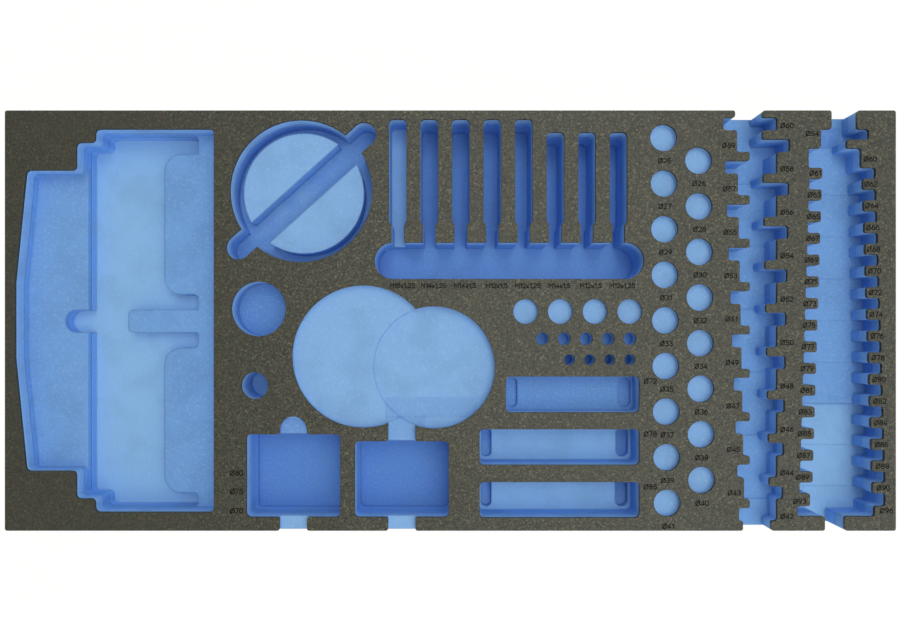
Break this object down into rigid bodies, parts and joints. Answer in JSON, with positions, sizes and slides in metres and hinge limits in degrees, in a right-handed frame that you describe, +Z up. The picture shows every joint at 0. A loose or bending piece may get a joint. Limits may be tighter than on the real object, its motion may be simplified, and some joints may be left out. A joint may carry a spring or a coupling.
{
  "type": "foam tool insert",
  "caption": "Rectangular foam drawer insert of glued plies under a dark cover, with milled pockets for a boxed tool set, spindles, pins and two columns of standing discs.",
  "frame": {"origin": "middle of the flat underside", "axes": "+X along the long side, to the right in the picture; +Y along the short side, to the top of the picture (the back); +Z up out of the pockets, through the cover"},
  "size_m": [1.026, 0.484, 0.053],
  "materials": {
    "dark_cover": "matt closed-cell foam sheet, olive grey, finely speckled",
    "light_foam": "matt closed-cell foam, light blue, milled",
    "deep_foam": "matt closed-cell foam, mid blue, milled"
  },
  "bodies": {
    "root": {"cover_main": "dark_cover", "cover_middle_strip": "dark_cover", "cover_right_strip": "dark_cover", "upper_ply_main": "light_foam", "upper_ply_middle_strip": "light_foam", "upper_ply_right_strip": "light_foam", "upper_ply_half_discs": "light_foam", "second_ply": "deep_foam", "second_ply_half_discs": "deep_foam", "third_ply": "light_foam", "base_ply": "deep_foam"}
  },
  "joints": []
}
